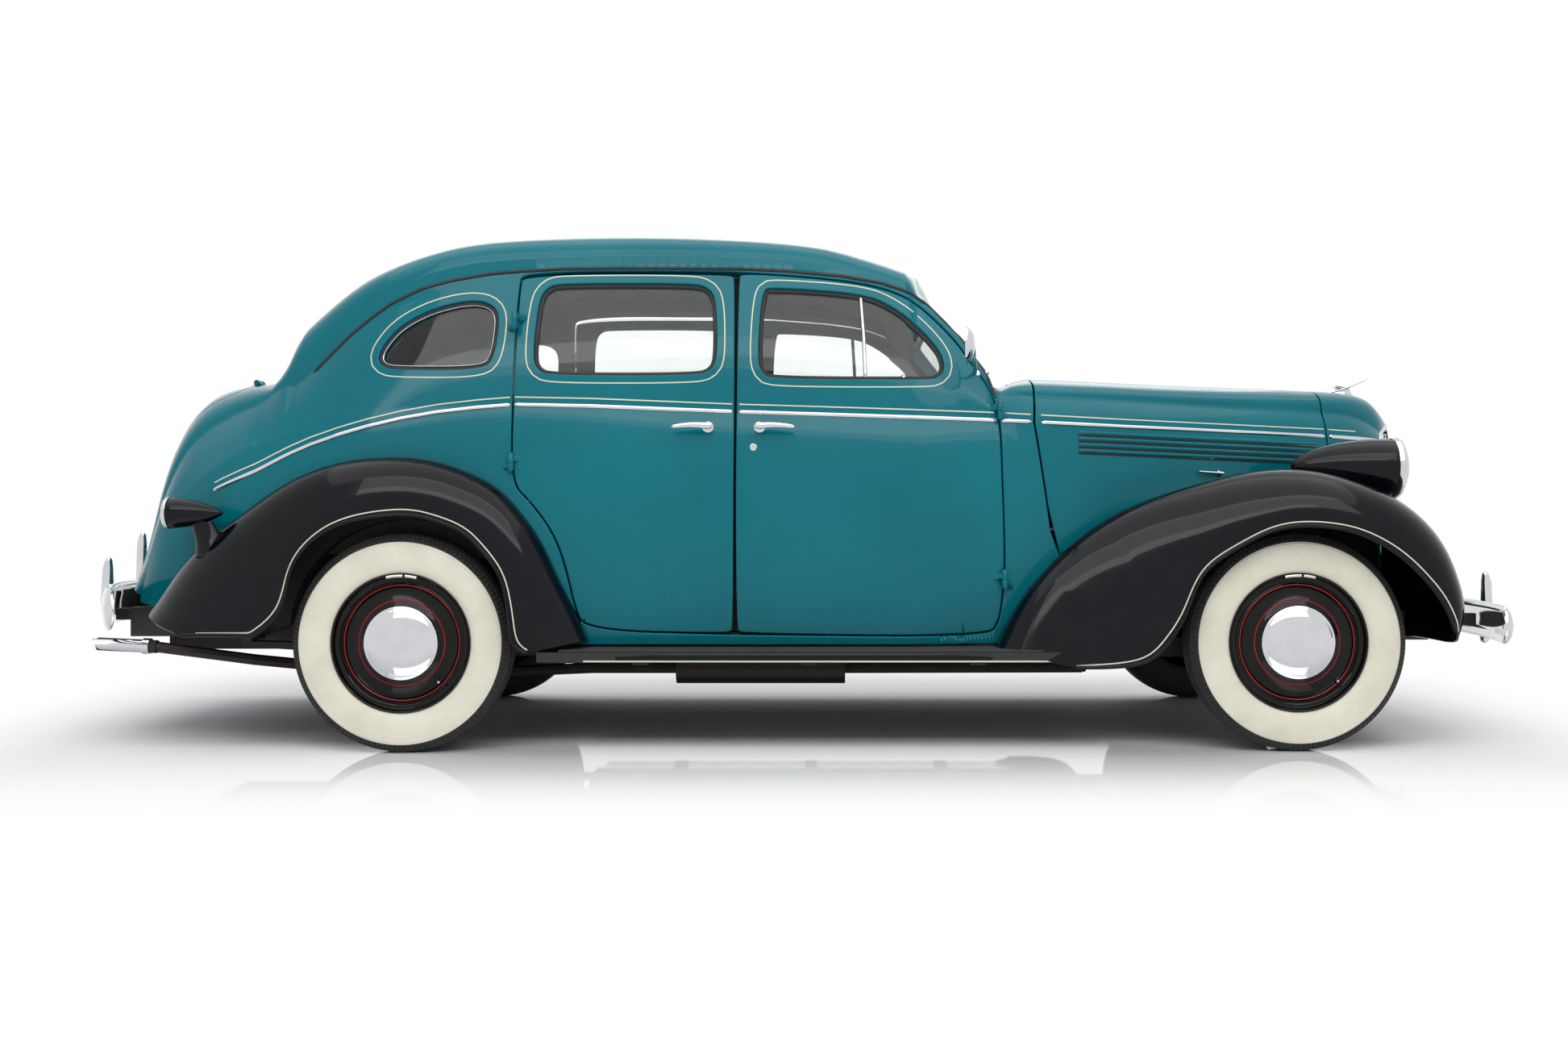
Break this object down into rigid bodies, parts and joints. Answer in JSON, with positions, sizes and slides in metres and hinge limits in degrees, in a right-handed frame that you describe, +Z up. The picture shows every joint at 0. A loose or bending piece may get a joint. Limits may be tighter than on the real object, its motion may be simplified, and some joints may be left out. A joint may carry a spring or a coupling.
{
  "type": "classic sedan car",
  "caption": "Four-door late-1930s touring sedan with pontoon fenders, running boards, butterfly hood, opening doors and trunk, steering and free-rolling wheels.",
  "frame": {"origin": "bounding box centre in plan, on the ground", "axes": "+X forward, +Y to the car's left, +Z up"},
  "size_m": [4.9464, 1.77, 1.752],
  "materials": {
    "body_paint": "gloss",
    "fender_paint": "gloss",
    "chrome": "polished",
    "glass": "clear",
    "frame_black": "satin",
    "rubber_tyre": "matte",
    "cloth": "woven",
    "iron": "rough",
    "pipe_steel": "weathered",
    "control_plastic": "gloss"
  },
  "bodies": {
    "car": {"chassis_frame": "frame_black", "body_shell": "body_paint", "windshield": "glass", "rear_window": "glass", "quarter_glass_left": "glass", "quarter_glass_right": "glass", "front_fender_left": "fender_paint", "front_fender_right": "fender_paint", "rear_fender_left": "fender_paint", "rear_fender_right": "fender_paint", "nose_shell": "body_paint", "grille": "chrome", "headlamp_lens_left": "glass", "headlamp_lens_right": "glass", "front_bumper": "chrome", "rear_bumper": "chrome", "engine_block": "iron", "exhaust": "pipe_steel", "front_axle": "iron", "rear_axle": "iron", "front_seat": "cloth", "rear_seat": "cloth"},
    "front_door_left": {"door_front_left": "body_paint", "door_front_glass_left": "glass"},
    "front_door_right": {"door_front_right": "body_paint", "door_front_glass_right": "glass"},
    "rear_door_left": {"door_rear_left": "body_paint", "door_rear_glass_left": "glass"},
    "rear_door_right": {"door_rear_right": "body_paint", "door_rear_glass_right": "glass"},
    "hood_half_left": {"hood_left": "body_paint"},
    "hood_half_right": {"hood_right": "body_paint"},
    "trunk": {"trunk_lid": "body_paint"},
    "steer_left": {"knuckle_left": "iron"},
    "steer_right": {"knuckle_right": "iron"},
    "tie": {"tie_rod": "iron"},
    "hand_wheel": {"steering_wheel": "control_plastic"},
    "wheel_front_left": {"front_wheel_left": "fender_paint", "front_tyre_left": "rubber_tyre"},
    "wheel_front_right": {"front_wheel_right": "fender_paint", "front_tyre_right": "rubber_tyre"},
    "wheel_rear_left": {"rear_wheel_left": "fender_paint", "rear_tyre_left": "rubber_tyre"},
    "wheel_rear_right": {"rear_wheel_right": "fender_paint", "rear_tyre_right": "rubber_tyre"}
  },
  "joints": [
    {"name": "front_door_right_hinge", "type": "hinge", "parent": "car", "child": "front_door_right", "pos_m": [0.713, -0.726, 0.56], "axis": [-0.0178, 0.073, 0.9972], "range_deg": [0, 70]},
    {"name": "front_door_left_hinge", "type": "hinge", "parent": "car", "child": "front_door_left", "pos_m": [0.713, 0.726, 0.56], "axis": [0.0178, 0.073, -0.9972], "range_deg": [0, 70]},
    {"name": "rear_door_right_hinge", "type": "hinge", "parent": "car", "child": "rear_door_right", "pos_m": [-0.912, -0.752, 0.945], "axis": [0, -0.1335, -0.991], "range_deg": [0, 70]},
    {"name": "rear_door_left_hinge", "type": "hinge", "parent": "car", "child": "rear_door_left", "pos_m": [-0.912, 0.752, 0.945], "axis": [0, -0.1335, 0.991], "range_deg": [0, 70]},
    {"name": "hood_left_hinge", "type": "hinge", "parent": "car", "child": "hood_half_left", "pos_m": [0.803, 0, 1.2612], "axis": [0.9997, 0, -0.0263], "range_deg": [0, 60]},
    {"name": "hood_right_hinge", "type": "hinge", "parent": "car", "child": "hood_half_right", "pos_m": [0.803, 0, 1.2612], "axis": [-0.9997, 0, 0.0263], "range_deg": [0, 60]},
    {"name": "trunk_hinge", "type": "hinge", "parent": "car", "child": "trunk", "pos_m": [-1.917, 0, 1.2455], "axis": [0, 1, 0], "range_deg": [0, 65]},
    {"name": "steering_left", "type": "hinge", "parent": "car", "child": "steer_left", "pos_m": [1.664, 0.62, 0.357], "axis": [0, 0, 1], "range_deg": [-30, 30]},
    {"name": "steering_right", "type": "hinge", "parent": "car", "child": "steer_right", "pos_m": [1.664, -0.62, 0.357], "axis": [0, 0, 1], "range_deg": [-30, 30]},
    {"name": "tie_rod_slide", "type": "slide", "parent": "car", "child": "tie", "axis": [0, 1, 0], "range_m": [-0.0735, 0.0735]},
    {"name": "hand_wheel_turn", "type": "hinge", "parent": "car", "child": "hand_wheel", "pos_m": [0.243, 0.36, 1.02], "axis": [-0.8202, 0, 0.5721], "range_deg": [-360, 360]},
    {"name": "front_left_spin", "type": "hinge", "parent": "steer_left", "child": "wheel_front_left", "pos_m": [1.664, 0.72, 0.357], "axis": [0, 1, 0], "continuous": true},
    {"name": "front_right_spin", "type": "hinge", "parent": "steer_right", "child": "wheel_front_right", "pos_m": [1.664, -0.72, 0.357], "axis": [0, 1, 0], "continuous": true},
    {"name": "rear_left_spin", "type": "hinge", "parent": "car", "child": "wheel_rear_left", "pos_m": [-1.257, 0.75, 0.357], "axis": [0, 1, 0], "continuous": true},
    {"name": "rear_right_spin", "type": "hinge", "parent": "car", "child": "wheel_rear_right", "pos_m": [-1.257, -0.75, 0.357], "axis": [0, 1, 0], "continuous": true}
  ],
  "couplings": [
    {"joint": "steering_right", "follows": "steering_left", "ratio": 1},
    {"joint": "tie_rod_slide", "follows": "steering_left", "m_per_rad": -0.14},
    {"joint": "hand_wheel_turn", "follows": "steering_left", "ratio": 12}
  ]
}
